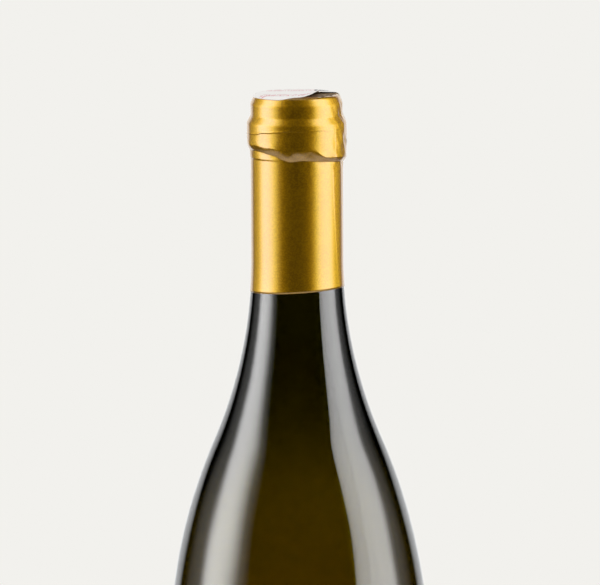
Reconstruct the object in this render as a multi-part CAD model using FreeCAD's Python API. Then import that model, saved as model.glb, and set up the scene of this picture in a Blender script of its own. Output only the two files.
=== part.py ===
"""A sealed bottle of still wine with long sloping shoulders, standing on its base.

Four separate pieces: the dark glass bottle, the wine that fills it, the gold foil
capsule over its neck, and the paper seal, a torn disc on the capsule's top with a
tail that runs down one side.  The bottle's axis is +Z, the table is Z = 0, the front
is -Y and the right is +X.  Sizes are in millimetres and angles in degrees.
"""
import FreeCAD
import Part

import math
import os

# --- Bottle: the outside ------------------------------------------------------------
height = 311.0              # table to the top of the glass
body_radius = 39.0          # the straight wall
neck_radius = 13.7          # the straight neck
neck_length = 49.1          # top of the glass to where the neck begins to flare
flare_radius = 136.4        # hollow curve from the neck into the shoulder
shoulder_radius = 163.7     # round curve from the shoulder into the body

# --- Bottle: the base, with the punt pushed up into it ------------------------------
heel_radius = 7.0           # rounding between the body and the base
standing_ring_width = 5.0   # flat ring on the table, inside the heel
punt_depth = 21.0
punt_top_radius = 11.0      # flat top of the punt, before it is rounded
punt_foot_rounding = 2.0    # from the standing ring into the punt
punt_top_rounding = 14.0

# --- Bottle: the finish, which is the nose and the ring under it --------------------
nose_inset = 0.15           # the nose is this much slimmer than the neck
lip_inset = 1.0             # and the flat part of the lip this much slimmer than the nose
nose_bevel = 2.4            # height over which the lip narrows
nose_length = 6.0           # lip to the start of the slope out to the ring
ring_rise = 1.0             # how far the ring stands out from the neck
ring_step = 2.2             # height of the slope from the nose out to the ring
ring_length = 6.4           # height of the ring's straight face
ring_undercut = 2.2         # height of the slope from the ring back to the neck
finish_rounding = 1.2       # rounding of the corners of lip, nose and ring

# --- Bottle: the wall, and the wine inside it ---------------------------------------
neck_wall = 4.4
body_wall = 3.0
base_wall = 5.0
inner_heel_radius = 4.0
inner_foot_rounding = 3.0   # from the floor into the rise over the punt
wine_below_lip = 55.0       # wine surface to the top of the glass

# --- Capsule ------------------------------------------------------------------------
foil = 0.25                 # foil thickness
capsule_length = 58.6       # lip to hem, measured on the axis
hem_slant = 3.2             # angle by which the hem rises to the right

# --- Seal: the disc -----------------------------------------------------------------
paper = 0.2                 # paper thickness
seal_radius = 12.4
tear_from_axis = 6.6        # the front right part is torn away beyond this line
tear_back = 4.0             # and this far back
curl_direction = -40.0      # angle from +X to the side where the disc curls up
curl_start = 8.0            # distance from the axis at which the curl begins
curl_radius = 4.7
curl_turn = 63.0            # angle through which the edge has curled

# --- Seal: the tail -----------------------------------------------------------------
tail_width = 7.0
tail_direction = 28.0       # angle from +X to the middle of the tail, towards the back
tail_length = 17.3          # lip to the tail's loose end
loose_length = 3.4          # height of the loose end
loose_gap = 0.9             # how far the loose end stands off

FULL_TURN = 360.0
NEARLY_STRAIGHT = 1e-6      # a corner this close to straight has no rounding
UP = FreeCAD.Vector(0, 0, 1)
ORIGIN = FreeCAD.Vector(0, 0, 0)

nose_radius = neck_radius - nose_inset
lip_radius = nose_radius - lip_inset
ring_radius = neck_radius + ring_rise
neck_end = height - neck_length
nose_end = height - nose_length
ring_top = nose_end - ring_step
ring_end = ring_top - ring_length
seal_bottom = height + foil


def at(radius, z):
    """The point at that radius and height, in the half plane that is revolved."""
    return FreeCAD.Vector(radius, 0, z)


def straight(start, end):
    """A straight edge."""
    return Part.LineSegment(start, end).toShape()


def arc(centre, radius, start, end):
    """An arc in the XZ plane; its angles are in radians, from +X towards +Z."""
    points = [
        centre + at(math.cos(angle), math.sin(angle)) * radius
        for angle in (start, (start + end) / 2, end)
    ]
    return Part.Arc(*points).toShape()


def rounded_path(corners):
    """Edges through a list of (point, rounding radius), with a tangent arc at each corner."""
    edges = []
    start = corners[0][0]
    for (before, _), (corner, radius), (after, _) in zip(corners, corners[1:], corners[2:]):
        back = (before - corner).normalize()
        ahead = (after - corner).normalize()
        opening = back.getAngle(ahead)
        if radius <= 0 or math.pi - opening < NEARLY_STRAIGHT:
            edges.append(straight(start, corner))
            start = corner
            continue
        setback = radius / math.tan(opening / 2)
        rise = radius / math.sin(opening / 2) - radius
        middle = corner + (back + ahead).normalize() * rise
        edges.append(straight(start, corner + back * setback))
        edges.append(Part.Arc(corner + back * setback, middle, corner + ahead * setback).toShape())
        start = corner + ahead * setback
    edges.append(straight(start, corners[-1][0]))
    return edges


def stand_off(corners, distance):
    """The same path moved to its left by that distance, its roundings kept concentric."""
    points = [point for point, _ in corners]
    ways = [(b - a).normalize() for a, b in zip(points, points[1:])]
    lefts = [at(-way.z, way.x) for way in ways]
    moved = [(points[0] + lefts[0] * distance, 0)]
    for i in range(1, len(points) - 1):
        mitre = (lefts[i - 1] + lefts[i]).normalize()
        reach = distance / mitre.dot(lefts[i])
        turns_left = ways[i - 1].x * ways[i].z > ways[i - 1].z * ways[i].x
        radius = corners[i][1] - distance if turns_left else corners[i][1] + distance
        moved.append((points[i] + mitre * reach, max(radius, 0)))
    moved.append((points[-1] + lefts[-1] * distance, 0))
    return moved


def face_of(edges):
    """The flat face inside a closed run of edges."""
    return Part.Face(Part.Wire(Part.__sortEdges__(edges)))


def revolved(edges):
    """The solid of revolution of a closed profile about the bottle's axis."""
    return face_of(edges).revolve(ORIGIN, UP, FULL_TURN)


def skin_of(corners, thickness):
    """A closed profile: a path, the same path that thickness to its left, and two ends."""
    outer = stand_off(corners, thickness)
    ends = [straight(corners[0][0], outer[0][0]), straight(corners[-1][0], outer[-1][0])]
    return rounded_path(corners) + rounded_path(outer) + ends


def finish_corners():
    """Lip, nose, ring and straight neck of the glass, from the axis down to the flare."""
    return [
        (at(0, height), 0),
        (at(lip_radius, height), finish_rounding),
        (at(nose_radius, height - nose_bevel), finish_rounding),
        (at(nose_radius, nose_end), finish_rounding),
        (at(ring_radius, ring_top), finish_rounding),
        (at(ring_radius, ring_end), finish_rounding),
        (at(neck_radius, ring_end - ring_undercut), finish_rounding),
        (at(neck_radius, neck_end), 0),
    ]


def base_corners(wall_radius, wall_end, heel_rounding, foot_rounding):
    """Heel, standing ring and punt, from the body's wall to the axis."""
    ring_inner = body_radius - heel_radius - standing_ring_width
    return [
        (at(wall_radius, wall_end), 0),
        (at(wall_radius, 0), heel_rounding),
        (at(ring_inner, 0), foot_rounding),
        (at(punt_top_radius, punt_depth), punt_top_rounding),
        (at(0, punt_depth), 0),
    ]


def shoulder_edges(top_radius, bottom_radius, hollow, full):
    """The flare and the shoulder: two arcs tangent to the neck, the body and each other.

    Their radii are hollow and full.  The second result is the height where they end.
    """
    turn = math.acos(1 - (bottom_radius - top_radius) / (hollow + full))
    bottom = neck_end - (hollow + full) * math.sin(turn)
    flare = arc(at(top_radius + hollow, neck_end), hollow, math.pi, math.pi + turn)
    shoulder = arc(at(bottom_radius - full, bottom), full, turn, 0)
    return [flare, shoulder], bottom


def glass_shoulder(out):
    """The flare and the shoulder of the glass, both moved out by that distance."""
    return shoulder_edges(
        neck_radius + out, body_radius + out, flare_radius - out, shoulder_radius + out
    )


def glass_outline():
    """The bottle's outside, as one full solid."""
    curves, body_end = glass_shoulder(0)
    base = base_corners(body_radius, body_end, heel_radius, punt_foot_rounding)
    axis = straight(at(0, punt_depth), at(0, height))
    return revolved(rounded_path(finish_corners()) + curves + rounded_path(base) + [axis])


def make_wine():
    """The wine, from the inside of the base up to its surface in the neck."""
    top_radius = neck_radius - neck_wall
    bottom_radius = body_radius - body_wall
    curves, body_end = shoulder_edges(
        top_radius, bottom_radius, flare_radius + neck_wall, shoulder_radius - body_wall
    )
    base = base_corners(
        bottom_radius + base_wall, body_end, inner_heel_radius + base_wall, inner_foot_rounding + base_wall
    )
    floor = stand_off(base, -base_wall)
    neck_and_axis = [
        straight(at(top_radius, neck_end), at(top_radius, height)),
        straight(at(top_radius, height), at(0, height)),
        straight(at(0, height), floor[-1][0]),
    ]
    filled = revolved(rounded_path(floor) + curves + neck_and_axis)
    above = Part.makeCylinder(body_radius, height, at(0, height - wine_below_lip))
    return filled.cut(above)


def make_bottle(wine):
    """The glass, with the wine's space in it; above the wine the neck is shut."""
    return glass_outline().cut(wine)


def make_capsule():
    """Foil over lip, nose, ring and neck, cut off along a slanting hem."""
    inside = finish_corners()
    outside = stand_off(inside, foil)
    inner_flare = glass_shoulder(0)[0][0]
    outer_flare = glass_shoulder(foil)[0][0]
    ends = [
        straight(inside[0][0], outside[0][0]),
        straight(inner_flare.Vertexes[1].Point, outer_flare.Vertexes[1].Point),
    ]
    edges = rounded_path(inside) + rounded_path(outside) + [inner_flare, outer_flare] + ends
    size = 4 * body_radius
    below_hem = Part.makeBox(size, size, size, FreeCAD.Vector(-size / 2, -size / 2, -size))
    below_hem.rotate(ORIGIN, FreeCAD.Vector(0, 1, 0), -hem_slant)
    below_hem.translate(at(0, height - capsule_length))
    return revolved(edges).cut(below_hem)


def seal_outline():
    """An upright block with the plan of the disc: round, its front right part torn away."""
    depth = 2 * curl_radius
    disc = Part.makeCylinder(seal_radius, depth, at(0, seal_bottom))
    torn = Part.makeBox(
        2 * seal_radius,
        2 * seal_radius,
        depth,
        FreeCAD.Vector(tear_from_axis, tear_back - 2 * seal_radius, seal_bottom),
    )
    return disc.cut(torn)


def seal_disc():
    """The disc, flat on the capsule and curling up towards the front right."""
    reach = 2 * seal_radius
    centre = at(curl_start, seal_bottom + curl_radius)
    down = -math.pi / 2
    end = down + math.radians(curl_turn)
    lower = arc(centre, curl_radius, down, end)
    upper = arc(centre, curl_radius - paper, down, end)
    back = at(-reach, seal_bottom)
    lift = at(0, paper)
    edges = [
        straight(back, lower.Vertexes[0].Point),
        lower,
        straight(lower.Vertexes[1].Point, upper.Vertexes[1].Point),
        upper,
        straight(upper.Vertexes[0].Point, back + lift),
        straight(back + lift, back),
    ]
    sheet = face_of(edges).extrude(FreeCAD.Vector(0, 2 * reach, 0))
    sheet.translate(FreeCAD.Vector(0, -reach, 0))
    sheet.rotate(ORIGIN, UP, curl_direction)
    return sheet.common(seal_outline())


def seal_tail():
    """A strip from the disc over the lip and down to the ring, its end standing off."""
    on_foil = stand_off(finish_corners()[:6], foil)
    loose_top = at(ring_radius + foil, height - tail_length + loose_length)
    loose_end = at(ring_radius + foil + loose_gap, height - tail_length)
    path = on_foil[:5] + [(loose_top, loose_length), (loose_end, 0)]
    strip = revolved(skin_of(path, paper))
    slab_start = FreeCAD.Vector(tear_from_axis, -tail_width / 2, 0)
    slab = Part.makeBox(body_radius, tail_width, 2 * height, slab_start)
    slab.rotate(ORIGIN, UP, tail_direction)
    return strip.common(slab)


def make_seal():
    """Disc and tail are one piece of paper."""
    return seal_disc().fuse(seal_tail()).removeSplitter()


def export(name, shape):
    """Writes one sub-part, which has to be a single valid solid."""
    solids = shape.Solids
    assert len(solids) == 1, f"{name} has {len(solids)} solids"
    solid = solids[0]
    assert solid.isValid() and solid.Volume > 0, f"{name} is not a valid solid"
    solid.exportStep(f"parts/{name}.step")
    box = solid.optimalBoundingBox()
    print(f"{name}: {solid.Volume / 1000:.3f} cm3, {box.XLength:.2f} wide, Z {box.ZMin:.2f} to {box.ZMax:.2f}")


def main():
    os.makedirs("parts", exist_ok=True)
    wine = make_wine()
    export("wine", wine)
    export("bottle", make_bottle(wine))
    export("capsule", make_capsule())
    export("paper_seal", make_seal())


main()
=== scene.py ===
# %% [markdown]
# # A sealed bottle of wine
# The bottle stands on a pale table between tall softboxes. It is dark glass, filled with
# wine, with a gold foil capsule shrunk over its neck and a torn paper seal on top. We start by
# loading the measured model of it, which fixes every size, and then lay the finished surfaces
# over it: glass, wine, foil and paper.

# %% Load the measured frame
import math

import bpy
import numpy as np
from mathutils import Matrix, Vector


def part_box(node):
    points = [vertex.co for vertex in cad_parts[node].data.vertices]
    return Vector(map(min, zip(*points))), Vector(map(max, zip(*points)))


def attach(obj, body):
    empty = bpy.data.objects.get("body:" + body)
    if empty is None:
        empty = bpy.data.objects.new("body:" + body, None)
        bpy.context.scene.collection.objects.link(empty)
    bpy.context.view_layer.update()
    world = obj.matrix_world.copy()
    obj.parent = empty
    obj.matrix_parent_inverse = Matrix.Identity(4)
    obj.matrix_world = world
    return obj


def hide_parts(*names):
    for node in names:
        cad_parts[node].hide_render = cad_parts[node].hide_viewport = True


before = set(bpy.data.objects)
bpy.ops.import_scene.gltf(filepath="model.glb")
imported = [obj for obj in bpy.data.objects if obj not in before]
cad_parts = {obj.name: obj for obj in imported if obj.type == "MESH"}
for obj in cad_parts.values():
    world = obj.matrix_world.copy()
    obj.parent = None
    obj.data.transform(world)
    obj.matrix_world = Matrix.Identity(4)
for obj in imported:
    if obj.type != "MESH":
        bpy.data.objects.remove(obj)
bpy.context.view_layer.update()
print("nodes:", ", ".join(sorted(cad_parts)))

# %% [markdown]
# All shapes below are worked out in millimetres, as a glassworks drawing is, and become metres
# only when a mesh is made. The overall sizes come from the frame. The others are the drawing's
# own: how the neck flares, how far the base is pushed up, how thick the wall is.

# %% Sizes of the bottle
MM = 0.001
glass_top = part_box("bottle")[1]
capsule_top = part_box("capsule")[1]
wine_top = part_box("wine")[1]

height = glass_top.z / MM
body_radius = glass_top.x / MM
foil = (capsule_top.z - glass_top.z) / MM
wine_level = wine_top.z / MM

neck_radius = 13.7
neck_length = 49.1
flare_radius = 136.4
shoulder_radius = 163.7
base_wall = 5.0
punt_depth = 21.0
print(f"height {height:.1f}, body radius {body_radius:.1f}, wine up to {wine_level:.1f} mm")

# %% [markdown]
# A bottle's outline is straight runs and round corners, so one helper turns a list of corners
# into points: it cuts each corner back by its rounding and fills in a tangent arc. The flare and
# the shoulder are two large arcs, tangent to the neck, the body and each other.

# %% Outlines from corners and arcs
def run(start, end, step):
    """Points on the straight line from start to end, at most step apart; the end is left out."""
    count = max(2, math.ceil(math.dist(start, end) / step) + 1)
    return np.linspace(start, end, count)[:-1]


def arc(centre, radius, start, end, step):
    """Points at centre + radius (cos a, sin a) for angles a from start to end, the end left out."""
    count = max(7, math.ceil(abs(end - start) * radius / step) + 1)
    angle = np.linspace(start, end, count)[:-1]
    return np.column_stack((centre[0] + radius * np.cos(angle), centre[1] + radius * np.sin(angle)))


def rounded_path(corners, step):
    """Points along a list of (radius, height, rounding), each corner replaced by a tangent arc.

    With the opening angle w between the two runs, the arc starts rounding / tan(w / 2) before
    the corner, and its centre is rounding / sin(w / 2) along the line that halves the opening.
    """
    pieces = []
    start = np.array(corners[0][:2], float)
    for before, here, after in zip(corners, corners[1:], corners[2:]):
        corner = np.array(here[:2], float)
        back = np.array(before[:2]) - corner
        ahead = np.array(after[:2]) - corner
        back /= np.linalg.norm(back)
        ahead /= np.linalg.norm(ahead)
        opening = math.acos(np.clip(back @ ahead, -1, 1))
        setback = here[2] / math.tan(opening / 2)
        halfway = (back + ahead) / np.linalg.norm(back + ahead)
        centre = corner + halfway * here[2] / math.sin(opening / 2)
        first, last = corner + back * setback, corner + ahead * setback
        first_angle = math.atan2(*(first - centre)[::-1])
        last_angle = math.atan2(*(last - centre)[::-1])
        turn = (last_angle - first_angle + math.pi) % math.tau - math.pi
        pieces.append(run(start, first, step))
        pieces.append(arc(centre, here[2], first_angle, first_angle + turn, step))
        start = last
    pieces.append(run(start, corners[-1][:2], step))
    return np.concatenate(pieces)


def shoulder_path(top, bottom, hollow, full, step):
    """The flare and the shoulder: a hollow arc from radius top, then a full arc to radius bottom.

    Both arcs turn through the same angle, whose cosine is 1 - (bottom - top) / (hollow + full).
    The second result is the height at which the straight body begins.
    """
    neck_end = height - neck_length
    turn = math.acos(1 - (bottom - top) / (hollow + full))
    body_end = neck_end - (hollow + full) * math.sin(turn)
    flare = arc((top + hollow, neck_end), hollow, math.pi, math.pi + turn, step)
    shoulder = arc((bottom - full, body_end), full, turn, 0, step)
    return np.concatenate((flare, shoulder)), body_end


# %% Corners of the finish and of the base
lip_depth = 2.4
nose_end = 6.0
ring_top = 8.2
ring_end = 14.6
neck_top = 16.8
rounding = 1.2


def finish_corners(out=0.0):
    """Lip, nose, ring and neck, from the axis down to the flare, all moved out by that much.

    Where a slanted run begins or ends, the corner also moves along its neighbour, by 0.4 of
    that at the top and by 0.2 below. Full corners get rounder by it, and hollow ones sharper.
    """
    nose = neck_radius - 0.15
    ring = neck_radius + 1.0
    return [
        (0, height + out, 0),
        (nose - 1.0 + out * 0.4, height + out, rounding + out),
        (nose + out, height - lip_depth + out * 0.2, rounding + out),
        (nose + out, height - nose_end + out * 0.2, rounding - out),
        (ring + out, height - ring_top + out * 0.2, rounding + out),
        (ring + out, height - ring_end - out * 0.2, rounding + out),
        (neck_radius + out, height - neck_top - out * 0.2, rounding - out),
        (neck_radius + out, height - neck_length, 0),
    ]


foot_inset = 12.0
punt_head = 11.0
punt_rounding = 14.0


def base_corners(wall_radius, wall_end, floor, heel, foot):
    """Heel, standing ring and punt, from the wall to the axis.

    floor lifts the whole bottom. A lifted foot is narrower by 0.3 of it, and its punt by 0.2.
    """
    return [
        (wall_radius, wall_end, 0),
        (wall_radius, floor, heel),
        (body_radius - foot_inset - 0.3 * floor, floor, foot),
        (punt_head - 0.2 * floor, punt_depth + floor, punt_rounding - floor),
        (0, punt_depth + floor, 0),
    ]


# %% The outside, from the lip to the punt
finish_step = 1.0
shoulder_step = 2.2
base_step = 3.5
heel_radius = 7.0
foot_radius = 2.0

shoulder, body_end = shoulder_path(
    neck_radius, body_radius, flare_radius, shoulder_radius, shoulder_step
)
outer_base = base_corners(body_radius, body_end, 0.0, heel_radius, foot_radius)
outside = np.concatenate(
    (
        rounded_path(finish_corners(), finish_step),
        shoulder,
        rounded_path(outer_base, base_step),
        [[0.0, punt_depth]],
    )
)
print(f"outside: {len(outside)} points, the straight body begins at {body_end:.1f} mm")

# %% [markdown]
# Turning an outline about the axis gives a grid of points: one row for each point of the
# outline, one column for each angle. Every round piece here is such a grid, so one function
# makes the mesh. The first and last rows lie on the axis and close as single points, so there
# is no pinched pole and no open seam.

# %% A mesh from an outline
def new_piece(name, points, faces, material):
    """An object with those points, in millimetres, and smooth faces in that material."""
    mesh = bpy.data.meshes.new(name)
    mesh.from_pydata((np.asarray(points) * MM).tolist(), [], faces)
    mesh.polygons.foreach_set("use_smooth", np.ones(len(mesh.polygons), bool))
    mesh.materials.append(material)
    mesh.update()
    piece = bpy.data.objects.new(name, mesh)
    bpy.context.scene.collection.objects.link(piece)
    return piece


def turned(radius, level, turn):
    """Points and faces of a closed skin of revolution.

    radius and level are grids, rows along the outline and columns round the axis, and turn is
    each column's angle from the front towards the right: x = radius sin(turn), y = -radius
    cos(turn), z = level. The faces look to the right of the way the outline runs.
    """
    radius, level, turn = np.broadcast_arrays(radius, level, turn)
    rows, columns = radius.shape
    grid = np.stack((radius * np.sin(turn), -radius * np.cos(turn), level), axis=-1)
    poles = np.array([[0, 0, level[0].mean()], [0, 0, level[-1].mean()]])
    points = np.concatenate((grid[1:-1].reshape(-1, 3), poles))
    index = np.arange((rows - 2) * columns).reshape(rows - 2, columns)
    beside = np.roll(index, -1, axis=1)
    quads = np.stack((index[:-1], index[1:], beside[1:], beside[:-1]), axis=-1).reshape(-1, 4)
    first, last = len(points) - 2, len(points) - 1
    top = np.column_stack((np.full(columns, first), index[0], beside[0]))
    bottom = np.column_stack((index[-1], np.full(columns, last), beside[-1]))
    return points, quads.tolist() + top.tolist() + bottom.tolist()


def joined(*skins):
    """Several (points, faces) as one."""
    points, faces, start = [], [], 0
    for skin_points, skin_faces in skins:
        points.append(skin_points)
        faces += [[i + start for i in face] for face in skin_faces]
        start += len(skin_points)
    return np.concatenate(points), faces


def all_round(columns):
    """That many angles round the axis, as one row."""
    return np.linspace(0, math.tau, columns, endpoint=False)[None, :]


def smooth(value, start, end):
    """From 0 at start to 1 at end, level at both ends: 3 t^2 - 2 t^3 of the share t between them."""
    share = np.clip((value - start) / (end - start), 0, 1)
    return share * share * (3 - 2 * share)


def bump(value, middle, width):
    """A bell of height 1 at middle, which falls to 1 / e at that width."""
    return np.exp(-(((value - middle) / width) ** 2))


# %% [markdown]
# ## Glass
# Bottle glass is clear but takes most of the light out of what passes through it. That is a
# property of its depth and not of its surface, so the surface is plain clear glass and the
# colour is an absorption inside it. Two walls of it let a few percent of the light through,
# nearly as much green as red and hardly any blue, and the wine then takes more of the green:
# together that is the olive brown of the belly, and near black where the wall is thick.

# %% Clear, coloured materials
def clear_body(name, ior, colour, density):
    """A clear solid whose inside absorbs light: (1 - colour) x density for each metre."""
    material = bpy.data.materials.new(name)
    material.use_nodes = True
    tree = material.node_tree
    shader = tree.nodes["Principled BSDF"]
    shader.inputs["Base Color"].default_value = (1, 1, 1, 1)
    shader.inputs["Transmission Weight"].default_value = 1.0
    shader.inputs["Roughness"].default_value = 0.0
    shader.inputs["IOR"].default_value = ior
    absorption = tree.nodes.new("ShaderNodeVolumeAbsorption")
    absorption.inputs["Color"].default_value = (*colour, 1)
    absorption.inputs["Density"].default_value = density
    tree.links.new(absorption.outputs["Volume"], tree.nodes["Material Output"].inputs["Volume"])
    return material


glass = clear_body("bottle_glass", 1.52, (0.5, 0.495, 0.0), 1000.0)
wine_liquid = clear_body("white_wine", 1.34, (0.98, 0.83, 0.0), 60.0)
print("clear materials: glass and wine")

# %% [markdown]
# The outside of the bottle was shaped by the mould, but the wall behind it was shaped by air.
# The glass gathers in the neck, and thins where the bottle was blown wide, so the inside is the
# outside moved inwards by a wall that thins down the flare and the shoulder. That is why such a
# bottle is darkest at the neck.

# %% The inside of the wall
neck_wall = 4.9
body_wall = 2.75
thin_from = height - 72.0
thin_to = height - 125.0
inner_heel = 4.0
inner_foot = 3.0
inner_step = 3.0
lid_step = 2.0


def wall_at(level):
    """The wall's thickness at that height."""
    return neck_wall + (body_wall - neck_wall) * smooth(-level, -thin_from, -thin_to)


def moved_in(path, amount):
    """Each point of the path moved by that amount to the right of the way the path runs."""
    ahead = np.gradient(path, axis=0)
    ahead /= np.linalg.norm(ahead, axis=1, keepdims=True)
    amount = np.broadcast_to(amount, len(path))[:, None]
    return path + amount * np.column_stack((ahead[:, 1], -ahead[:, 0]))


def inside_path(overlap, top):
    """The inner wall, from the axis at that top down to the axis at the floor.

    overlap moves it out into the wall, which is how the wine meets the glass with no gap.
    """
    thick = wall_at(shoulder[:, 1]) - overlap
    curve = moved_in(shoulder, thick)[::2]
    neck = neck_radius - neck_wall + overlap
    floor = base_wall - overlap
    base = base_corners(body_radius - body_wall + overlap, body_end, floor, inner_heel, inner_foot)
    return np.concatenate(
        (
            run((0, top), (neck, top), lid_step),
            run((neck, top), curve[0], inner_step),
            curve,
            rounded_path(base, inner_step),
            [[0.0, punt_depth + floor]],
        )
    )


half_way = (thin_from + thin_to) / 2
print(f"wall: {neck_wall} mm, then {wall_at(half_way):.1f} mm on the shoulder, then {body_wall} mm")

# %% [markdown]
# Blown glass is never quite true. Slow ripples run round and up the wall, so a reflection's
# straight edge wavers a little. The two halves of the mould leave a faint raised seam from
# shoulder to heel, and the ring that the bottle stands on is knurled, so that it doesn't slip
# or scuff on the line.

# %% Ripples, seams and knurls
seam_turn = math.radians(36.0)
knurls = 64
points_per_knurl = 6
knurl_depth = 0.25


def ripple(turn, level):
    """Three sines that go 2, 5 and 11 times round and climb at different rates, in millimetres."""
    slow = 0.10 * np.sin(2 * turn + level / 23)
    quick = 0.05 * np.sin(5 * turn - level / 11 + 1)
    fine = 0.02 * np.sin(11 * turn + level / 6 + 2)
    return slow + quick + fine


def mould_seam(turn, radius):
    """Two bells, half a turn apart, 0.05 mm high and about a millimetre wide."""
    off = (turn - seam_turn + math.pi / 2) % math.pi - math.pi / 2
    return 0.05 * bump(off * radius, 0.0, 0.8)


turn = all_round(points_per_knurl * knurls)
radius, level = outside[:, :1], outside[:, 1:]

# The ripples start below the neck and fade out at the heel, and the knurls lie on the foot only.
on_wall = smooth(radius, neck_radius, neck_radius + 12) * smooth(level, 6.0, 12.0)
on_foot = bump(radius, body_radius - 9.5, 1.6) * (level < 1.0)
outer_radius = radius + on_wall * (ripple(turn, level) + mould_seam(turn, radius))
outer_level = level + knurl_depth * on_foot * (1 - np.cos(knurls * turn)) / 2
highest = float((outer_radius - radius).max())
print(f"{len(outside)} rows of {turn.size} points, ripples and seam up to {highest:.2f} mm high")

# %% Glass piece
inner_columns = 120
cavity = inside_path(0.0, wine_level)[::-1]
glass_skin = turned(outer_radius, outer_level, turn)
cavity_skin = turned(cavity[:, :1], cavity[:, 1:], all_round(inner_columns))
bottle = new_piece("glass_bottle", *joined(glass_skin, cavity_skin), glass)
print("glass faces:", len(bottle.data.polygons))

# %% [markdown]
# The wine reaches 0.15 mm into the wall all round. If it only touched the wall, both surfaces
# would reflect, and a thin silver line of air would show where there is none.

# %% Wine
into_wall = 0.15
filling = inside_path(into_wall, wine_level + into_wall)
wine_skin = turned(filling[:, :1], filling[:, 1:], all_round(inner_columns))
wine = new_piece("wine_filling", *wine_skin, wine_liquid)
print(f"wine: up to {wine_level:.1f} mm, {filling[:, 0].max() * 2:.1f} mm across")

# %% [markdown]
# ## Shader nodes
# The foil and the paper get their grain, print and wear from small networks of nodes. One
# helper adds a node and wires its inputs, and the others are the few steps used again and again.

# %% Node helpers
def add(tree, kind, inputs=None, **settings):
    """A new node of that kind. An input that is another node's output is linked, others are set."""
    made = tree.nodes.new(kind)
    for name, value in settings.items():
        setattr(made, name, value)
    for name, value in (inputs or {}).items():
        if isinstance(value, bpy.types.NodeSocket):
            tree.links.new(value, made.inputs[name])
        else:
            made.inputs[name].default_value = value
    return made


def fade(tree, value, start, end, low=0.0, high=1.0):
    """Smoothly from low to high while value goes from start to end."""
    limits = {"From Min": start, "From Max": end, "To Min": low, "To Max": high}
    made = add(tree, "ShaderNodeMapRange", {"Value": value, **limits}, interpolation_type="SMOOTHSTEP")
    return made.outputs["Result"]


def calculate(tree, operation, first, second):
    """One sum on two values."""
    return add(tree, "ShaderNodeMath", {0: first, 1: second}, operation=operation).outputs[0]


def product(tree, first, *others):
    """All the values multiplied, one after the other."""
    for other in others:
        first = calculate(tree, "MULTIPLY", first, other)
    return first


def between(tree, value, start, end, soft):
    """1 while value is between start and end, with a soft edge of that width inside both."""
    return product(tree, fade(tree, value, start, start + soft), fade(tree, value, end, end - soft))


def blend(tree, share, first, second):
    """Two colours mixed by that share."""
    made = add(tree, "ShaderNodeMix", data_type="RGBA")
    for socket, value in zip((0, 6, 7), (share, first, second)):
        if isinstance(value, bpy.types.NodeSocket):
            tree.links.new(value, made.inputs[socket])
        else:
            made.inputs[socket].default_value = value
    return made.outputs[2]


def noise(tree, place, size, detail):
    """Noise with lumps of about that size, in metres, from 0 to 1."""
    inputs = {"Vector": place, "Scale": 1.0 / size, "Detail": detail}
    return add(tree, "ShaderNodeTexNoise", inputs).outputs["Fac"]


def new_material(name):
    """An empty material, its tree, its shader and its Object coordinates."""
    material = bpy.data.materials.new(name)
    material.use_nodes = True
    tree = material.node_tree
    place = add(tree, "ShaderNodeTexCoord").outputs["Object"]
    return material, tree, tree.nodes["Principled BSDF"], place


# %% [markdown]
# ## Foil
# The capsule is aluminium foil, rolled with a satin grain and coated with a clear yellow
# lacquer. The metal takes its colour from the lacquer, so it is a rough metal of a deep
# orange-yellow. The lacquer's own surface is smoother than the metal and takes no colour, so it
# adds a narrower, pale sheen in the middle of each highlight, and along the outline.

# %% Gold foil material
def gold_foil():
    """Satin gold: metal with a fine grain, blotches of wear and a deeper tone where it overlaps."""
    material, tree, shader, place = new_material("gold_foil")
    grain = noise(tree, place, 0.0005, 3.0)
    blotch = noise(tree, place, 0.006, 2.0)
    lap = add(tree, "ShaderNodeAttribute", attribute_name="overlap").outputs["Fac"]
    worn = blend(tree, fade(tree, blotch, 0.35, 0.7), (0.54, 0.265, 0.0, 1), (0.61, 0.30, 0.0, 1))
    deeper = blend(tree, product(tree, lap, 0.9), worn, (0.50, 0.20, 0.0, 1))
    speckles = fade(tree, grain, 0.4, 0.62, 0.0, 0.7)
    speckled = blend(tree, speckles, deeper, (0.76, 0.41, 0.006, 1))
    roughness = fade(tree, grain, 0.25, 0.75, 0.36, 0.46)
    tree.links.new(speckled, shader.inputs["Base Color"])
    tree.links.new(roughness, shader.inputs["Roughness"])
    relief = add(tree, "ShaderNodeBump", {"Height": grain, "Strength": 0.8, "Distance": 0.00006})
    tree.links.new(relief.outputs["Normal"], shader.inputs["Normal"])
    shader.inputs["Metallic"].default_value = 1.0
    shader.inputs["Coat Weight"].default_value = 1.0
    shader.inputs["Coat IOR"].default_value = 2.4
    shader.inputs["Coat Roughness"].default_value = 0.18
    return material


gold = gold_foil()
print("foil material: gold")

# %% [markdown]
# The capsule was a straight sleeve, spun down onto the bottle by rollers. It is tight on the
# nose and the ring, but the rollers could not press it into the hollow under the ring, and
# there it bridges the corner in a cone whose upper and lower edges wander round the neck: it is
# a short, steep ledge on the right and a longer slope at the front. The shape is one function of
# the angle round the bottle and the depth below the top.

# %% Radius of the foil
foil_metal = 0.12
hug = 0.15
ring_radius = neck_radius + 1.0 + foil
bridge_from, bridge_to = 9.0, 22.0


def fold(phase):
    """A triangle wave between -1 and 1, which bends sharply at its crests, as foil does."""
    return np.arcsin(np.sin(phase)) * 2 / math.pi


def from_front(turn, degrees):
    """The angle to that direction, between minus and plus half a turn."""
    return (turn - math.radians(degrees) + math.pi) % math.tau - math.pi


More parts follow.
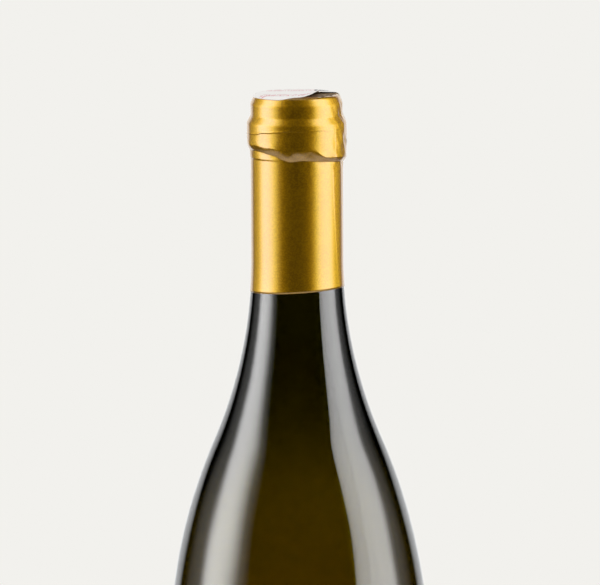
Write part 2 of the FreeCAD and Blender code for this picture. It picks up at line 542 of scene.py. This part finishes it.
bridge_edges = np.array(
    [
        (-180, 16.2, 18.8),
        (-115, 14.8, 17.0),
        (-90, 14.0, 16.3),
        (-62, 14.2, 16.1),
        (-45, 14.3, 16.3),
        (-30, 14.7, 17.1),
        (-20, 15.0, 18.1),
        (-8, 15.3, 18.9),
        (8, 15.2, 18.5),
        (22, 15.5, 18.8),
        (36, 17.7, 18.9),
        (62, 17.9, 19.5),
        (90, 18.6, 20.1),
        (120, 17.4, 19.6),
        (180, 16.2, 18.8),
    ]
)


def bridge(turn, depth):
    """1 on the ring, 0 on the neck, and between two wandering edges 1 - share^1.5.

    The edges are straight folds from one corner to the next, as the table gives them: the angle
    from the front in degrees, then the depth of the upper and of the lower edge.
    """
    degrees = np.degrees(from_front(turn, 0))
    upper = np.interp(degrees, bridge_edges[:, 0], bridge_edges[:, 1])
    lower = np.interp(degrees, bridge_edges[:, 0], bridge_edges[:, 2])
    share = np.clip((depth - upper) / (lower - upper), 0, 1)
    return 1 - share**1.5, (upper + lower) / 2


# %% [markdown]
# Handling leaves marks, and they are what tells foil from paint. A crease runs round the ring,
# lower on the left. Small facets fill the bridge under the ring, and the right side is dented
# from lip to neck. They are about a tenth of a millimetre deep, and the deepest dent a quarter.
# That is enough, because a shiny surface shows a tilt of a few degrees.

# %% Creases and dents
def creases(turn, depth):
    """Thin raised lines, each a bell across its own path and faded at its ends, in millimetres."""
    left = smooth(-from_front(turn, 0), 0.0, math.pi / 2)
    fading = bump(from_front(turn, -45), 0.0, 1.3)
    wander = 0.12 * fold(11 * turn) + 0.08 * fold(19 * turn + 1)
    round_ring = 0.12 * bump(depth, 9.5 + 1.9 * left + wander, 0.2) * fading
    at_nose = 0.08 * bump(depth, 2.8 + wander, 0.25) * bump(from_front(turn, -70), 0.0, 0.9)
    below_bridge = 0.20 * (1 - smooth(depth, 18.3, 19.0)) * smooth(depth, 14, 16)
    return round_ring + at_nose + below_bridge * bump(from_front(turn, -70), 0.0, 0.75)


def facets(turn, depth, middle):
    """Crossing triangle waves, in the bridge and on the right side only, in millimetres.

    The right side is also pressed in as a whole, by 0.06 mm.
    """
    in_bridge = bump(depth, middle, 2.2)
    below_lip = smooth(depth, 0.5, 3.0)
    above_neck = 1 - smooth(depth, 19, 24)
    on_right = bump(from_front(turn, 72), 0.0, 0.42) * below_lip * above_neck
    long_ones = 0.07 * fold(9 * turn + 0.9 * depth) + 0.05 * fold(16 * turn - 1.2 * depth + 1)
    short_ones = 0.05 * fold(17 * turn + 0.6 * depth) + 0.04 * fold(29 * turn - 1.1 * depth + 0.5)
    return in_bridge * long_ones + on_right * (short_ones - 0.06)


single_dents = (
    (-7, 2.6, -0.07, 0.4),
    (92, 11.9, 0.08, 0.8),
    (88, 13.4, -0.25, 0.6),
)


def dents(turn, depth):
    """Bells at the places in single_dents: direction in degrees, depth, how far out, how wide."""
    total = 0.0
    for degrees, at, out, size in single_dents:
        across = from_front(turn, degrees) * ring_radius
        total = total + out * bump(across, 0.0, size) * bump(depth, at, size)
    return total


# %% [markdown]
# The sleeve is a rolled strip, glued where it overlaps. The rollers press the double layer in, so
# that it stands out by less than half the foil's thickness. The edge of the overlap leans: it
# comes down from under the ring at 51 degrees to the right of the front, and reaches the hem at
# 63. The hem itself is cut a little askew, higher on the right, and its cut edge stands out by a
# quarter of the foil's thickness.

# %% Overlap and hem
capsule_length = 58.35
hem_slant = math.radians(3.2)
hem_lip = 0.03
hem_lip_length = 0.25
overlap_top = 51.0
overlap_foot = 63.0
overlap_width = 22.0
overlap_rise = 0.4


def overlap_at(turn, depth):
    """1 where the strip lies double: from its leaning edge to overlap_width further round.

    The edge goes from overlap_top to overlap_foot by share^1.5, with share the way down the neck.
    """
    share = np.clip((depth - 20) / 38, 0, 1)
    lean = overlap_top + (overlap_foot - overlap_top) * share**1.5
    past = np.degrees(from_front(turn, 90)) + 90 - lean
    return smooth(past, -0.8, 0.8) * (1 - smooth(past, overlap_width - 1, overlap_width + 1))


def hem_depth(turn):
    """How far below the top the hem is: a slanted plane cuts the sleeve."""
    return capsule_length - math.tan(hem_slant) * neck_radius * np.sin(turn)


def foil_radius(turn, depth):
    """Radius of the outer side from the ring down, with every crease, facet and dent on it.

    Plain radius: the neck's, plus the bridge's share of the step to the ring, plus the flare,
    which is a circle's. The hem's lip fades upwards as exp(-distance / hem_lip_length).
    """
    on_ring, middle = bridge(turn, depth)
    below = np.clip(depth - neck_length, 0, None)
    flare = flare_radius - np.sqrt(flare_radius**2 - below**2)
    plain = neck_radius + hug + (ring_radius - neck_radius - hug) * on_ring + flare
    edge = hem_lip * np.exp(-(hem_depth(turn) - depth) / hem_lip_length)
    marks = creases(turn, depth) + facets(turn, depth, middle) + dents(turn, depth)
    return plain + marks + overlap_rise * foil_metal * overlap_at(turn, depth) + edge


# %% Outer side of the capsule
foil_columns = 360
top_step = 0.35
bridge_rows = 83
neck_rows = 52
bridge_middle = 17.0

turn = all_round(foil_columns)
foil_path = rounded_path(finish_corners(foil), top_step)
over_top = foil_path[foil_path[:, 1] > height - bridge_from]
top_depth = height - over_top[:, 1:]
top_marks = creases(turn, top_depth) + facets(turn, top_depth, bridge_middle) + dents(turn, top_depth)

# The marks begin at the rim, because the flat top is kept smooth by the glass under it.
on_rim = smooth(over_top[:, :1], 11.5, 13.0)
top_radius = over_top[:, :1] + on_rim * top_marks

bridge_depth = np.linspace(bridge_from, bridge_to, bridge_rows + 1)[:-1, None] + 0 * turn
neck_share = np.linspace(0, 1, neck_rows)[:, None]
neck_depth = bridge_to + (hem_depth(turn) - bridge_to) * neck_share
low_depth = np.concatenate((bridge_depth, neck_depth))
depth = np.concatenate((top_depth + 0 * turn, low_depth))
outer = np.concatenate((top_radius, foil_radius(turn, low_depth)))
print(f"outer side: {outer.shape[0]} rows of {outer.shape[1]} points")

# %% [markdown]
# The foil's inner side follows the outer one, a foil's thickness further in, and at the flat top
# as much lower. It doesn't show, so every fourth row of the outer side is enough for it, taken
# from the hem back up to the top. Each point also keeps whether the foil lies double there,
# because the colour is made deeper and more orange on the overlap.

# %% Capsule piece
inner_rows = slice(None, None, -4)
flat_top = depth[inner_rows] < 0.5
inner = np.maximum(outer[inner_rows] - foil_metal, 0)
inner_depth = depth[inner_rows] + foil_metal * flat_top
level = height - np.concatenate((depth, inner_depth))
points, faces = turned(np.concatenate((outer, inner)), level, turn)
capsule = new_piece("foil_capsule", points, faces, gold)
lap = np.concatenate((overlap_at(turn, depth), 0 * inner))[1:-1].ravel()
marks = capsule.data.attributes.new("overlap", "FLOAT", "POINT")
marks.data.foreach_set("value", np.concatenate((lap, [0, 0])).astype(np.float32))
print("foil faces:", len(faces), "widest", round(float(outer.max()) * 2, 2), "mm")

# %% [markdown]
# ## Seal
# A round paper seal is stuck over the top. Its front right part is torn away, the torn edge has
# curled up, and a strip runs on over the rim and down the side, with its end come loose. It is
# laid out flat first, as it was cut: how far the sheet reaches in each direction from its
# centre. Then every point is carried onto the foil.

# %% The flat sheet
disc = 13.3
tear = 6.6
strip_turn = math.radians(114.0)
strip_half = 3.5
strip_end = 30.5
loose_from = 26.5
strip_zone = 0.5
front_cut = 11.9
front_slant = 0.28
front_from, front_to = -1.2, 0.6
tear_from = 0.55
sharpness = 20
least = 0.01


def reach(turn):
    """How far the flat sheet goes from its centre in each direction, in millimetres.

    A straight line at distance d reaches d / cos of the angle from its nearest point, and
    d / (cos + s sin) if it slants by s. Such a slanted line cuts off the round edge along the
    front, and the two meet in a rounded corner: (front^-n + disc^-n)^(-1/n) is close to the
    smaller of them, and the larger n is, the sharper the corner. The tear is a line with a
    ragged edge, and the strip lies between two more. No divisor is smaller than least.
    """
    off = from_front(turn, 0)
    aside = off - strip_turn
    front = front_cut / np.maximum(np.cos(off) + front_slant * np.sin(off), least)
    cut = (front**-sharpness + disc**-sharpness) ** (-1 / sharpness)
    edge = np.where((off > front_from) & (off < front_to), cut, disc)
    torn = tear / np.maximum(np.sin(off), least)
    ragged = 0.25 * fold(31 * off) + 0.15 * fold(53 * off + 1)
    opened = (off > tear_from) & (aside < 0)
    sheet = np.where(opened, np.minimum(edge, torn + ragged), edge)
    beside = strip_half / np.maximum(np.abs(np.sin(aside)), least)
    strip = np.minimum(beside, strip_end / np.cos(aside))
    return np.where((np.abs(aside) < strip_zone) & (strip > sheet), strip, sheet)


# %% Points of the sheet, closer together in the strip
strip_columns = 90
other_columns = 250
rings = 60
fine_start = strip_turn - 0.4
fine_end = strip_turn + 0.4

fine = np.linspace(fine_start, fine_end, strip_columns, endpoint=False)
elsewhere = np.linspace(fine_end, fine_start + math.tau, other_columns, endpoint=False)
sheet_turn = np.concatenate((fine, elsewhere))[None, :]
sheet_share = np.linspace(0, 1, rings + 1)[1:, None]
flat = reach(sheet_turn) * sheet_share
print(f"sheet: {disc * 2:.1f} mm across, its strip reaches {strip_end:.1f} mm from the centre")

# %% [markdown]
# Paper bends but doesn't stretch, so distance along the sheet stays distance along the foil.
# The foil's outline is measured from the axis outwards, and a point of the sheet goes where
# the outline has come as far. On the strip, the sideways distance is turned into an angle.

# %% Distance along the foil
lift = 0.06
walk_step = 0.3

outline = moved_in(rounded_path(finish_corners(foil), walk_step), -lift)
outline = np.concatenate(([[0.0, outline[0, 1]]], outline[1:]))
steps = np.linalg.norm(np.diff(outline, axis=0), axis=1)
travelled = np.concatenate(([0.0], np.cumsum(steps)))
print(f"outline: {travelled[-1]:.1f} mm from the axis to the end of the neck")

# %% The sheet carried onto the foil
loose_lift = 0.85
strip_from = 11.0

aside = from_front(sheet_turn, 0) - strip_turn
in_strip = (np.abs(aside) < strip_zone) & (flat > strip_from)
along = np.where(in_strip, flat * np.cos(aside), flat)
over_radius = np.interp(along, travelled, outline[:, 0])
over_level = np.interp(along, travelled, outline[:, 1])
sideways = flat * np.sin(aside) / np.maximum(over_radius, 1.0)
over_turn = np.where(in_strip, strip_turn + sideways, sheet_turn)
loose = np.clip((along - loose_from) / (strip_end - loose_from), 0, 1)
over_radius = over_radius + loose_lift * loose * in_strip
print(f"strip: {math.degrees(2 * strip_half / ring_radius):.0f} degrees wide on the ring")

# %% [markdown]
# Beside the tear the paper curls up, away from the glue. It starts half a millimetre to the
# right of the axis and rises ever more steeply up to the torn edge, most of all at the front.
# The strip, once it is over the rim, stays down.

# %% Curl at the tear
curl = 2.0
curl_start = 0.5
curl_end = 13.5

right = over_radius * np.sin(over_turn)
front = over_radius * np.cos(over_turn)
curled = np.clip((right - curl_start) / (tear - curl_start), 0, 1.1) ** 1.8
seal_level = over_level + curl * curled * smooth(front, -4.0, 10.5) * (flat < curl_end)
print(f"curl: up to {seal_level.max() - outline[0, 1]:.2f} mm above the flat paper")

# %% [markdown]
# The paper is plain and fibrous, with rows of fine pink dashes across it and a dark, glossy
# band at the back on the right. The dashes are stripes in one direction, broken up by
# noise that is stretched in the other, and nothing more: a print this small reads as a tint.

# %% Paper material
def seal_paper():
    """White fibrous paper with rows of fine pink dashes and one dark band."""
    material, tree, shader, place = new_material("seal_paper")
    axes = add(tree, "ShaderNodeSeparateXYZ", {"Vector": place})
    fibre = noise(tree, place, 0.0006, 4.0)
    paper = blend(tree, fibre, (0.84, 0.82, 0.785, 1), (0.93, 0.91, 0.88, 1))
    stretched = add(tree, "ShaderNodeMapping", {"Vector": place, "Scale": (1.0, 0.25, 0.25)})
    broken = fade(tree, noise(tree, stretched.outputs["Vector"], 0.0007, 1.0), 0.40, 0.50)
    stripes = add(
        tree,
        "ShaderNodeTexWave",
        {"Vector": place, "Scale": 260.0, "Distortion": 1.5, "Detail": 1.0},
        bands_direction="Y",
    )
    dashes = product(tree, fade(tree, stripes.outputs["Fac"], 0.25, 0.6), broken)
    near = between(tree, axes.outputs["Y"], -0.0085, -0.0035, 0.001)
    far = product(tree, between(tree, axes.outputs["Y"], 0.005, 0.0105, 0.001), 0.6)
    off_left = fade(tree, axes.outputs["X"], -0.0115, -0.0100)
    off_right = fade(tree, axes.outputs["X"], 0.009, 0.007)
    printed = product(tree, calculate(tree, "ADD", near, far), off_right, off_left, 0.9)
    pink = blend(tree, product(tree, dashes, printed), paper, (0.66, 0.12, 0.18, 1))
    to_right = fade(tree, axes.outputs["X"], 0.0052, 0.0056)
    to_back = fade(tree, axes.outputs["Y"], 0.0062, 0.0066)
    on_top = fade(tree, axes.outputs["Z"], (height - 3.0) * MM, (height - 2.0) * MM)
    band = product(tree, to_right, to_back, on_top)
    tree.links.new(blend(tree, band, pink, (0.035, 0.04, 0.045, 1)), shader.inputs["Base Color"])
    tree.links.new(fade(tree, band, 0.0, 1.0, 0.75, 0.3), shader.inputs["Roughness"])
    relief = add(tree, "ShaderNodeBump", {"Height": fibre, "Strength": 0.3, "Distance": 0.00005})
    tree.links.new(relief.outputs["Normal"], shader.inputs["Normal"])
    return material


# %% Seal piece
paper_thickness = 0.14


def fan(radius, level, turn):
    """Points and faces of an open sheet: one point in the middle, then ring after ring."""
    rows, columns = radius.shape
    grid = np.stack((radius * np.sin(turn), -radius * np.cos(turn), level), axis=-1).reshape(-1, 3)
    points = np.concatenate((grid, [[0, 0, level[0].mean()]]))
    index = np.arange(rows * columns).reshape(rows, columns)
    beside = np.roll(index, -1, axis=1)
    quads = np.stack((index[:-1], index[1:], beside[1:], beside[:-1]), axis=-1).reshape(-1, 4)
    middle = np.column_stack((np.full(columns, rows * columns), index[0], beside[0]))
    return points, quads.tolist() + middle.tolist()


seal = new_piece("torn_seal", *fan(over_radius, seal_level, over_turn), seal_paper())
wall = seal.modifiers.new("paper", "SOLIDIFY")
wall.thickness = paper_thickness * MM
wall.offset = 1.0
print("seal faces:", len(seal.data.polygons), "top at", round(float(seal_level.max()), 2), "mm")

# %% [markdown]
# Where the paper was torn off, the foil's flat top lies in shade, and that shade is painted: a
# thin brown film, dull and uneven, from the tear to the rim. It is a piece of its own, a fan
# that reaches only to that side.

# %% Painted shade on the foil top
def painted_shade_film():
    """Painted shade of the foil's top beside the tear: brown with paler fibres, dull, and with little
    gloss even at a flat angle.
    """
    material, tree, shader, place = new_material("painted_shade_brown")
    fibre = noise(tree, place, 0.0009, 4.0)
    colour = blend(tree, fade(tree, fibre, 0.3, 0.75), (0.11, 0.065, 0.03, 1), (0.36, 0.25, 0.14, 1))
    tree.links.new(colour, shader.inputs["Base Color"])
    shader.inputs["Roughness"].default_value = 0.7
    shader.inputs["Specular IOR Level"].default_value = 0.1
    return material


# %% Painted shade piece
film_columns = 240
film_rings = 12
film_middle = 74
film_length = 11.2
film_core = 0.6
film_thickness = 0.03

film_turn = all_round(film_columns)
off_middle = np.abs(from_front(film_turn, film_middle))
film_side = smooth(off_middle, math.radians(52), math.radians(44))
film_ragged = film_length + 0.25 * fold(19 * film_turn) + 0.15 * fold(37 * film_turn)
film_reach = film_core + film_side * film_ragged
film_radius = film_reach * np.linspace(0, 1, film_rings + 1)[1:, None]
film_level = height + foil + film_thickness * np.ones_like(film_radius)
# This brown film is painted shade: the foil's flat top beside the tear lies in shade there.
painted_shade = new_piece("painted_shade_film", *fan(film_radius, film_level, film_turn), painted_shade_film())
print("glue film reaches", round(float(film_reach.max()), 1), "mm")

# %% [markdown]
# ## Table and room
# The bottle stands on a pale table that fades into a pale backdrop. What the camera sees, and
# what it sees through glass, is that backdrop. What shiny surfaces reflect is a dark room with a
# bright wall behind the bottle, which is what puts a pale rim round dark glass, and with a
# faint light straight overhead. Everything else gets a plain, even fill.

# %% Table
def table_material():
    """Pale matt table, faintly mottled, that becomes clear towards its rim."""
    material, tree, shader, place = new_material("table")
    mottle = noise(tree, place, 0.02, 3.0)
    colour = blend(tree, mottle, (0.52, 0.515, 0.50, 1), (0.57, 0.565, 0.55, 1))
    tree.links.new(colour, shader.inputs["Base Color"])
    shader.inputs["Roughness"].default_value = 0.8
    away = add(tree, "ShaderNodeVectorMath", {0: place}, operation="LENGTH").outputs["Value"]
    clear = add(tree, "ShaderNodeBsdfTransparent")
    faded = add(tree, "ShaderNodeMixShader", {0: fade(tree, away, 0.20, 0.52), 1: shader.outputs[0]})
    tree.links.new(clear.outputs[0], faded.inputs[2])
    tree.links.new(faded.outputs[0], tree.nodes["Material Output"].inputs["Surface"])
    return material


table_half = 900.0
corners = [(-1, -1, 0), (1, -1, 0), (1, 1, 0), (-1, 1, 0)]
table = new_piece("table", np.array(corners) * table_half, [(0, 1, 2, 3)], table_material())
print(f"table: {2 * table_half * MM:.1f} m square")

# %% Room
def studio_world():
    """A world that looks different to camera, glossy and other rays."""
    world = bpy.data.worlds.new("studio")
    world.use_nodes = True
    tree = world.node_tree
    tree.nodes.clear()
    path = add(tree, "ShaderNodeLightPath").outputs
    toward = add(tree, "ShaderNodeTexCoord").outputs["Generated"]
    axes = add(tree, "ShaderNodeSeparateXYZ", {0: toward}).outputs
    bright_wall = fade(tree, axes["Y"], 0.755, 0.86, 0.0, 1.05)
    overhead = fade(tree, axes["Z"], 0.93, 1.0, 0.0, 0.5)
    reflected = calculate(tree, "MAXIMUM", bright_wall, overhead)
    backdrop = add(tree, "ShaderNodeBackground", {"Color": (0.888, 0.879, 0.847, 1)})
    room = add(tree, "ShaderNodeBackground", {"Color": (0.97, 0.985, 1.0, 1), "Strength": reflected})
    fill = add(tree, "ShaderNodeBackground", {"Color": (1, 1, 1, 1), "Strength": 1.0})
    seen = calculate(tree, "MAXIMUM", path["Is Camera Ray"], path["Is Transmission Ray"])
    shiny = path["Is Glossy Ray"]
    unseen = add(tree, "ShaderNodeMixShader", {0: shiny, 1: fill.outputs[0], 2: room.outputs[0]})
    whole = add(tree, "ShaderNodeMixShader", {0: seen, 1: unseen.outputs[0], 2: backdrop.outputs[0]})
    add(tree, "ShaderNodeOutputWorld", {"Surface": whole.outputs[0]})
    return world


bpy.context.scene.world = studio_world()
print("world:", bpy.context.scene.world.name)

# %% [markdown]
# Tall softboxes stand to the left and the right of the bottle, one on each side for the glass
# and one for the foil. Glass returns only a twentieth of their light, so its boxes are far
# brighter, and each lamp is linked to the pieces that it lights. The foil's boxes are taller and
# have less blue towards their edges. Paper, the brown film of painted shade and table are lit by
# the room's even fill alone.
# Cloth is brighter in the middle of a softbox than at its edge, and the left one of the glass
# stands behind a diffuser, so its inner edge is soft. A softbox's brightness is given by angle
# from the front.

# %% Softboxes
lamp_distance = 0.9


def softbox(name, side, profile, radiance, lamp_height, receivers):
    """A tall rectangle of light, facing the axis, as bright at each angle as the profile says.

    profile is triples: an angle from the front, in degrees, and the share of the radiance in red
    and in blue. Green is nine tenths of the red share and one tenth of the blue. The angle a
    shows at tan(a - middle) / (2 tan(half)) from the middle of the lamp's width, and the lamp's
    power is radiance x pi x area. The lamp stands on the table's level and is lamp_height tall.
    """
    first, last = profile[0][0], profile[-1][0]
    middle, half = math.radians((first + last) / 2), math.radians((last - first) / 2)
    width = 2 * lamp_distance * math.tan(half)
    light = bpy.data.lights.new(name, "AREA")
    light.shape = "RECTANGLE"
    light.size, light.size_y = width, lamp_height
    light.energy = radiance * math.pi * width * lamp_height
    light.use_nodes = True
    tree = light.node_tree
    on_lamp = add(tree, "ShaderNodeNewGeometry").outputs["Parametric"]
    across = add(tree, "ShaderNodeSeparateXYZ", {0: on_lamp})
    ramp = add(tree, "ShaderNodeValToRGB", {"Fac": across.outputs["X"]})

    # A new ramp already has two stops, and the others are added.
    stops = ramp.color_ramp.elements
    for number, (angle, red, blue) in enumerate(profile):
        shift = math.tan(math.radians(angle) - middle) / (2 * math.tan(half))
        place = 0.5 + side * shift
        stop = stops[number] if number < 2 else stops.new(place)
        stop.position = place
        stop.color = (red, 0.9 * red + 0.1 * blue, blue, 1)
    tree.links.new(ramp.outputs["Color"], tree.nodes["Emission"].inputs["Color"])
    away = Vector((side * math.sin(middle), -math.cos(middle), 0))
    lamp = bpy.data.objects.new(name, light)
    lamp.location = away * lamp_distance + Vector((0, 0, lamp_height / 2))
    lamp.rotation_mode = "QUATERNION"
    lamp.rotation_quaternion = away.to_track_quat("Z", "Y")
    bpy.context.scene.collection.objects.link(lamp)
    lit = bpy.data.collections.new(name + "_lights")
    for piece in receivers:
        lit.objects.link(piece)
    lamp.light_linking.receiver_collection = lit
    return lamp


# %% Cloth of the softboxes
def white(profile):
    """Pairs of an angle and a share as triples, with the same share in red and in blue."""
    return [(angle, share, share) for angle, share in profile]


left_cloth = white(
    (
        (48, 0), (54, 0.06), (59, 0.13), (64, 0.40), (69, 0.68), (74, 0.87),
        (79, 0.98), (85, 1), (89, 0.97), (94, 0.88), (99, 0.62), (103, 0.28),
        (107, 0.10), (112, 0.06), (120, 0.035), (129, 0.006), (134, 0),
    )
)
right_cloth = white(
    (
        (54, 0), (56, 0.55), (60, 0.76), (65, 0.85), (70, 0.93), (75, 0.98),
        (80, 1), (86, 1), (92, 0.93), (98, 0.84), (103, 0.52), (106, 0.2),
        (111, 0.08), (120, 0.035), (128, 0.005), (132, 0),
    )
)
left_foil_cloth = (
    (38, 0, 0), (45, 0.10, 0.03), (50, 0.38, 0.08), (56, 0.75, 0.18), (61, 0.95, 0.32),
    (68, 1, 0.72), (79, 1, 1), (91, 1, 0.98), (98, 1, 0.66), (104, 0.7, 0.24),
    (111, 0.3, 0.08), (124, 0.18, 0.04), (134, 0.15, 0.02),
)
right_foil_cloth = (
    (34, 0, 0), (41, 0.12, 0.02), (46, 0.45, 0.06), (51, 0.85, 0.2), (56, 1, 0.4),
    (63, 1, 0.66), (72, 1, 0.8), (84, 1, 0.78), (93, 1, 0.62), (100, 0.85, 0.2),
    (108, 0.42, 0.06), (124, 0.22, 0.03), (134, 0.15, 0.02),
)
softbox("left_glass_light", -1, left_cloth, 10.1, 1.05, [bottle, wine])
softbox("right_glass_light", 1, right_cloth, 7.8, 1.05, [bottle, wine])
softbox("left_plain_light", -1, left_foil_cloth, 2.1, 1.8, [capsule])
softbox("right_plain_light", 1, right_foil_cloth, 2.1, 1.8, [capsule])
print("softboxes:", len(bpy.data.lights))

# %% [markdown]
# ## Camera
# The camera looks slightly down on the neck and the shoulder from the front. Its lens follows
# from the width that it has to show at that distance.

# %% Camera
elevation = math.radians(6.9)
distance = 4.0
view_width = 0.1800
target = Vector((0.00076, 0, 0.2513))
roll = math.radians(-0.28)

lens = bpy.data.cameras.new("camera")
lens.lens = lens.sensor_width * distance / view_width
lens.clip_end = 50
camera = bpy.data.objects.new("camera", lens)
back = Vector((0, -math.cos(elevation), math.sin(elevation)))
camera.location = target + back * distance
camera.rotation_mode = "QUATERNION"
upright = (-back).to_track_quat("-Z", "Y")
camera.rotation_quaternion = upright @ Matrix.Rotation(roll, 3, "Z").to_quaternion()
bpy.context.scene.collection.objects.link(camera)
bpy.context.scene.camera = camera
bpy.context.scene.view_settings.view_transform = "Standard"
print(f"camera: {lens.lens:.0f} mm lens, {distance:.1f} m away")

# %% [markdown]
# ## Tied to the model
# Each finished piece stands for one piece of the measured model and moves with it.

# %% Put together
stands_for = {
    "bottle": (bottle, "bottle_glass"),
    "wine": (wine, "wine"),
    "capsule": (capsule, "gold_foil"),
    "paper_seal": (seal, "seal_paper"),
}
for node, (piece, slot) in stands_for.items():
    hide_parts(node)
    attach(piece, "root")
    print(node, "->", piece.name)
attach(painted_shade, "root")
